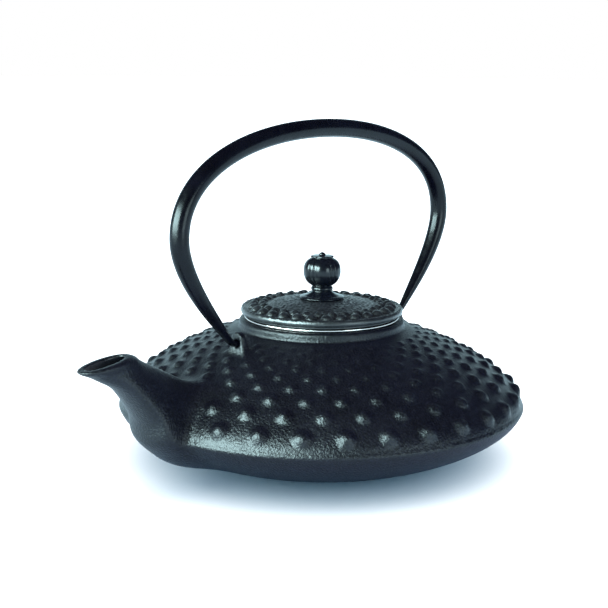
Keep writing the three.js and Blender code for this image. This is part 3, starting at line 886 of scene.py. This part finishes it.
def infuser_floor_piece():
    """A punched disc: round holes in a triangular pattern."""
    low, high = box_mm("infuser_floor")
    edge = high[0]

    def loop(x, y, radius, sides):
        return [(x + radius * math.cos(k * TURN / sides), y + radius * math.sin(k * TURN / sides))
                for k in range(sides)]

    loops = [loop(0, 0, edge, 160)]
    row_step = FLOOR_PITCH * math.sqrt(3) / 2
    reach = math.ceil(edge / row_step)
    for row in range(-reach, reach + 1):
        for column in range(-reach, reach + 1):
            x, y = (column + 0.5 * (row % 2)) * FLOOR_PITCH, row * row_step
            if math.hypot(x, y) < edge - FLOOR_MARGIN:
                loops.append(loop(x, y, HOLE_SHARE * FLOOR_PITCH, HOLE_SIDES))
    flat = [Vector(p) for points in loops for p in points]
    ends = np.cumsum([0] + [len(points) for points in loops])
    rims = [list(range(a, b)) for a, b in zip(ends[:-1], ends[1:])]
    inside_with_holes = 2
    flat, _, triangles, *_ = delaunay_2d_cdt(flat, [], rims, inside_with_holes, 1e-6)
    count = len(flat)
    sides = {}
    for triangle in triangles:
        for a, b in zip(triangle, triangle[1:] + triangle[:1]):
            key = frozenset((a, b))
            sides[key] = None if key in sides else (a, b)
    points = [(p.x, p.y, z) for z in (low[2], high[2]) for p in flat]
    faces = [tuple(t) for t in triangles] + [tuple(count + v for v in reversed(t)) for t in triangles]
    faces += [(a, b, count + b, count + a) for a, b in filter(None, sides.values())]
    piece = mesh_piece("infuser_sieve_floor", points, faces, "infuser", "stainless",
                       ["infuser_floor"], stainless())
    piece.data.set_sharp_from_angle(angle=SHARP_ANGLE)


# ---- materials


class Nodes:
    """The nodes of a material or a world, with its shader and a coordinate."""

    def __init__(self, owner, shader="Principled BSDF", coordinate="Object"):
        owner.use_nodes = True
        self.tree = owner.node_tree
        self.shader = self.tree.nodes[shader]
        self.place = self.add("ShaderNodeTexCoord").outputs[coordinate]

    def add(self, kind, **inputs):
        node = self.tree.nodes.new(kind)
        for name, value in inputs.items():
            node.inputs[name.replace("_", " ")].default_value = value
        return node

    def link(self, start, end):
        self.tree.links.new(start, end)

    def noise(self, size_mm, detail, roughness=0.55):
        node = self.add("ShaderNodeTexNoise", Scale=1 / (size_mm * MM), Detail=detail,
                        Roughness=roughness)
        self.link(self.place, node.inputs["Vector"])
        return node.outputs["Fac"]

    def pits(self, size_mm):
        node = self.add("ShaderNodeTexVoronoi", Scale=1 / (size_mm * MM), Randomness=1.0)
        self.link(self.place, node.inputs["Vector"])
        return node.outputs["Distance"]

    def ramp(self, source, stops):
        node = self.add("ShaderNodeValToRGB")
        elements = node.color_ramp.elements
        while len(elements) < len(stops):
            elements.new(0.5)
        for element, (position, colour) in zip(elements, stops):
            element.position = position
            element.color = (*colour, 1)
        self.link(source, node.inputs["Fac"])
        return node.outputs["Color"]

    def shade(self, colour, roughness):
        self.link(colour, self.shader.inputs["Base Color"])
        self.link(roughness, self.shader.inputs["Roughness"])

    def span(self, source, low, high):
        """A value from low to high, by a noise that mostly lies between 0.3 and 0.7."""
        node = self.add("ShaderNodeMapRange", From_Min=0.3, From_Max=0.7, To_Min=low, To_Max=high)
        self.link(source, node.inputs["Value"])
        return node.outputs["Result"]

    def mix(self, first, second, share):
        """Two colours mixed. Each of the three is a value or another node's output."""
        node = self.add("ShaderNodeMixRGB")
        for name, value in (("Color1", first), ("Color2", second), ("Fac", share)):
            if isinstance(value, (float, tuple)):
                node.inputs[name].default_value = value
            else:
                self.link(value, node.inputs[name])
        return node.outputs["Color"]

    def bump(self, heights):
        """Bumps one on another: (height, strength, depth in mm) each."""
        normal = None
        for height, strength, depth_mm in heights:
            node = self.add("ShaderNodeBump", Strength=strength, Distance=depth_mm * MM)
            self.link(height, node.inputs["Height"])
            if normal is not None:
                self.link(normal, node.inputs["Normal"])
            normal = node.outputs["Normal"]
        self.link(normal, self.shader.inputs["Normal"])


def new_material(name):
    material = bpy.data.materials.new(name)
    return material, Nodes(material)


def cast_iron(name, dark, light, speck, rough, grain_mm, grain_depth_mm, specular, coat):
    """Iron whose tone runs in patches from dark to light, with specks on its grain."""
    material, nodes = new_material(name)
    patches = nodes.noise(14, 4)
    grain = nodes.noise(grain_mm, 4, 0.6)
    tone = nodes.mix(nodes.ramp(patches, [(0.35, dark), (0.68, light)]),
                     nodes.ramp(grain, [(0.42, dark), (0.66, speck)]), 0.5)
    nodes.shade(tone, nodes.span(nodes.mix(patches, grain, 0.5), *rough))
    nodes.shader.inputs["Specular IOR Level"].default_value = specular
    nodes.shader.inputs["Coat Weight"].default_value = coat
    nodes.shader.inputs["Coat Roughness"].default_value = 0.3
    nodes.bump([(nodes.noise(5, 2), 0.2, 0.3), (nodes.pits(grain_mm * 1.3), 0.5, grain_depth_mm),
                (grain, 0.9, grain_depth_mm)])
    return material


def pot_iron():
    return cast_iron(
        "pot_cast_iron", dark=(0.0002, 0.0002, 0.0024), light=(0.0012, 0.0016, 0.008),
        speck=(0.008, 0.0095, 0.02), rough=(0.3, 0.42), grain_mm=0.85, grain_depth_mm=0.26,
        specular=0.33, coat=0.0,
    )


def lid_iron():
    return cast_iron(
        "lid_cast_iron", dark=(0.0002, 0.0003, 0.0024), light=(0.0016, 0.0024, 0.008),
        speck=(0.02, 0.026, 0.031), rough=(0.32, 0.42), grain_mm=1.2, grain_depth_mm=0.2,
        specular=0.52, coat=0.4,
    )


def knob_iron():
    return cast_iron(
        "knob_cast_iron", dark=(0.0012, 0.0016, 0.004), light=(0.0035, 0.0045, 0.0085),
        speck=(0.006, 0.008, 0.012), rough=(0.14, 0.22), grain_mm=1.2, grain_depth_mm=0.03,
        specular=0.25, coat=0.15,
    )


def forged_iron():
    material, nodes = new_material("forged_black_iron")
    patches = nodes.noise(9, 3)
    tone = nodes.ramp(patches, [(0.35, (0.0006, 0.0007, 0.0026)), (0.7, (0.0022, 0.0026, 0.006))])
    nodes.shade(tone, nodes.span(nodes.noise(3, 4), 0.2, 0.3))
    nodes.shader.inputs["Specular IOR Level"].default_value = 0.18
    nodes.bump([(nodes.noise(7, 2), 0.3, 0.3), (nodes.noise(0.9, 3), 0.4, 0.05)])
    return material


def enamel():
    material, nodes = new_material("black_enamel_lining")
    patches = nodes.noise(10, 3)
    tone = nodes.ramp(patches, [(0.35, (0.008, 0.008, 0.01)), (0.7, (0.018, 0.019, 0.022))])
    nodes.shade(tone, nodes.span(patches, 0.14, 0.24))
    nodes.bump([(nodes.noise(4, 2), 0.3, 0.3)])
    return material


def stainless():
    material, nodes = new_material("spun_stainless_steel")
    stretch = nodes.add("ShaderNodeMapping", Scale=(1, 1, 12))
    nodes.link(nodes.place, stretch.inputs["Vector"])
    lines = nodes.add("ShaderNodeTexNoise", Scale=900.0, Detail=3.0)
    nodes.link(stretch.outputs["Vector"], lines.inputs["Vector"])
    tone = nodes.ramp(lines.outputs["Fac"], [(0.3, (0.52, 0.47, 0.45)), (0.7, (0.7, 0.63, 0.6))])
    nodes.shade(tone, nodes.span(lines.outputs["Fac"], 0.12, 0.24))
    nodes.shader.inputs["Metallic"].default_value = 1.0
    nodes.bump([(lines.outputs["Fac"], 0.15, 0.02)])
    return material


# ---- floor, light and camera

CAMERA_AZIMUTH = -46
CAMERA_ELEVATION = 14.014
CAMERA_DISTANCE = 0.56
CAMERA_TARGET = Vector((0, 0, 0.036))
CAMERA_PAN, CAMERA_TILT, CAMERA_ROLL = (math.radians(v) for v in (-0.838, 3.2334, 0.5872))
LENS_MM = 71.95
SENSOR_MM = 36


def direction_of(azimuth, elevation):
    """The unit vector towards a camera or light at this azimuth and elevation, in degrees."""
    azimuth, elevation = math.radians(azimuth), math.radians(elevation)
    return Vector((math.sin(azimuth) * math.cos(elevation),
                   -math.cos(azimuth) * math.cos(elevation), math.sin(elevation)))


def add_camera():
    back = direction_of(CAMERA_AZIMUTH, CAMERA_ELEVATION)
    level_right = direction_of(CAMERA_AZIMUTH + 90, 0)
    level_up = back.cross(level_right)
    forward = -back + math.tan(CAMERA_PAN) * level_right + math.tan(CAMERA_TILT) * level_up
    forward.normalize()
    right = (level_right - level_right.dot(forward) * forward).normalized()
    up = right.cross(forward)
    rolled_right = math.cos(CAMERA_ROLL) * right + math.sin(CAMERA_ROLL) * up
    rolled_up = math.cos(CAMERA_ROLL) * up - math.sin(CAMERA_ROLL) * right
    turn = Matrix((rolled_right, rolled_up, -forward)).transposed().to_4x4()
    data = bpy.data.cameras.new("photo_camera")
    data.lens = LENS_MM
    data.sensor_width = SENSOR_MM
    data.clip_start = 0.01
    data.clip_end = 50
    camera = bpy.data.objects.new("photo_camera", data)
    camera.matrix_world = Matrix.Translation(CAMERA_TARGET + CAMERA_DISTANCE * back) @ turn
    bpy.context.scene.collection.objects.link(camera)
    bpy.context.scene.camera = camera


SOFTBOX_AIM = Vector((0, 0, 0.04))
SOFTBOX_DISTANCE = 1.3


def softbox(name, azimuth, elevation, width, height, watts, colour):
    """A rectangular light that faces the pot, for its reflections only."""
    back = direction_of(azimuth, elevation)
    data = bpy.data.lights.new(name, "AREA")
    data.shape = "RECTANGLE"
    data.size, data.size_y = width, height
    data.energy = watts
    data.color = colour
    light = bpy.data.objects.new(name, data)
    turn = back.to_track_quat("Z", "Y").to_matrix().to_4x4()
    light.matrix_world = Matrix.Translation(SOFTBOX_AIM + SOFTBOX_DISTANCE * back) @ turn
    light.visible_diffuse = False
    bpy.context.scene.collection.objects.link(light)


FLOOR_HALF_SIZE = 30.0
FLOOR_DROP = 0.0003  # keeps the floor clear of the pot's base
# The floor's tone in the iron's reflections is painted shade: darker than the floor's own tone, and
# darkest as a painted shadow near the pot, by distance in metres from the middle of the painted shade.
MIRRORED_FLOOR_PAINTED_SHADE = [(0.08, (0.28, 0.35, 0.45)), (0.17, (0.5, 0.68, 0.75))]
PAINTED_SHADE_MIDDLE = (0.016, -0.016, 0.0)


def add_floor():
    mesh = bpy.data.meshes.new("floor")
    corners = [(-1, -1), (1, -1), (1, 1), (-1, 1)]
    mesh.from_pydata([(x * FLOOR_HALF_SIZE, y * FLOOR_HALF_SIZE, -FLOOR_DROP) for x, y in corners],
                     [], [(0, 1, 2, 3)])
    floor = bpy.data.objects.new("floor", mesh)
    bpy.context.scene.collection.objects.link(floor)
    material, nodes = new_material("pale_floor")
    tone = nodes.ramp(nodes.noise(60, 2), [(0.3, (0.86, 0.87, 0.88)), (0.7, (0.88, 0.885, 0.89))])
    from_middle = nodes.add("ShaderNodeVectorMath")
    from_middle.operation = "DISTANCE"
    from_middle.inputs[1].default_value = PAINTED_SHADE_MIDDLE
    nodes.link(nodes.place, from_middle.inputs[0])
    # Painted shade: glossy rays see the floor darker than it is, darkest near the pot like a painted
    # shadow.
    mirrored_painted_shade = nodes.ramp(from_middle.outputs["Value"], MIRRORED_FLOOR_PAINTED_SHADE)
    glossy = nodes.add("ShaderNodeLightPath").outputs["Is Glossy Ray"]
    nodes.link(nodes.mix(tone, mirrored_painted_shade, glossy), nodes.shader.inputs["Base Color"])
    nodes.shader.inputs["Roughness"].default_value = 0.9
    nodes.shader.inputs["Specular IOR Level"].default_value = 0.0
    mesh.materials.append(material)


# Ramps by the sine of the elevation: what glossy surfaces mirror, then what matt ones see.
CEILING = (0.006, 0.008, 0.016)
BACKDROP = (0.9, 1.35, 1.5)
STUDIO_BACK = [(0.0, BACKDROP), (0.26, BACKDROP), (0.44, CEILING), (1.0, CEILING)]
STUDIO_FRONT = [(0.0, (0.1, 0.13, 0.16)), (0.2, CEILING)]
SKY = [(0.0, (0.2, 1.6, 2.9)), (0.5, (2.15, 2.5, 2.75)), (1.0, (3.3, 3.0, 2.75))]
BACKDROP_EDGE = [(0.6, (0, 0, 0)), (0.86, (1, 1, 1))]  # by the cosine from the backdrop's middle
BACKDROP_TURN = 14  # degrees round from right behind the pot


def add_world():
    """A sky for matt surfaces and, for glossy ones, a dark studio with a bright backdrop low down
    behind the pot. The camera sees plain white."""
    world = bpy.data.worlds.new("studio")
    bpy.context.scene.world = world
    nodes = Nodes(world, "Background", "Generated")
    split = nodes.add("ShaderNodeSeparateXYZ")
    nodes.link(nodes.place, split.inputs["Vector"])
    behind = nodes.add("ShaderNodeVectorMath")
    behind.operation = "DOT_PRODUCT"
    behind.inputs[1].default_value = -direction_of(CAMERA_AZIMUTH + BACKDROP_TURN, 0)
    nodes.link(nodes.place, behind.inputs[0])
    back = nodes.ramp(split.outputs["Z"], STUDIO_BACK)
    front = nodes.ramp(split.outputs["Z"], STUDIO_FRONT)
    side = nodes.ramp(behind.outputs["Value"], BACKDROP_EDGE)
    studio = nodes.mix(front, back, side)
    rays = nodes.add("ShaderNodeLightPath").outputs
    sky = nodes.ramp(split.outputs["Z"], SKY)
    felt = nodes.mix(sky, studio, rays["Is Glossy Ray"])
    seen = nodes.mix(felt, (1, 1, 1, 1), rays["Is Camera Ray"])
    nodes.link(seen, nodes.shader.inputs["Color"])


add_camera()
add_floor()
add_world()
softbox("left_softbox", -98, 19, 1.5, 0.6, 125, (0.68, 0.98, 1.0))
softbox("right_softbox", 0, 8, 0.6, 0.4, 6, (0.72, 0.96, 1.0))
bpy.context.scene.view_settings.view_transform = "Standard"

pot_piece()
handle_piece()
lid_piece()
knob_piece()
washer_piece()
collar_piece()
base_ring_piece()
infuser_wall_piece()
infuser_floor_piece()
